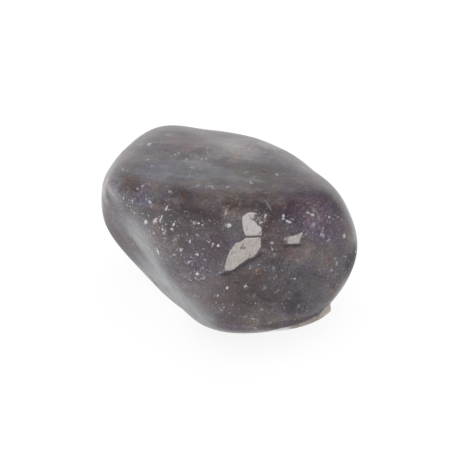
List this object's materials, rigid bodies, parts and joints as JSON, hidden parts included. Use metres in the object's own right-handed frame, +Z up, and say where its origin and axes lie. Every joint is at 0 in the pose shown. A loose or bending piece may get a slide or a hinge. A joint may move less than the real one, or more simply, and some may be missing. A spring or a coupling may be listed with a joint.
{
  "type": "lepidolite tumbled stone",
  "caption": "Polished tumbled pebble of dark grey-violet lepidolite with worn flat faces, pale mica flakes and a thin pale ledge low on one end.",
  "frame": {"origin": "on the flat that the stone rests on, under the middle of its box", "axes": "+X along the stone towards its near end, with the ledge; +Y across it towards the back side; +Z up from the resting flat"},
  "size_m": [0.0356, 0.0274, 0.0208],
  "materials": {
    "polished_lepidolite": "tumble-polished stone: dark grey-violet rock with blue-grey, brown and violet clouds, mica glints and pale pink mica flakes"
  },
  "bodies": {
    "root": {"lepidolite_stone": "polished_lepidolite"}
  },
  "joints": []
}
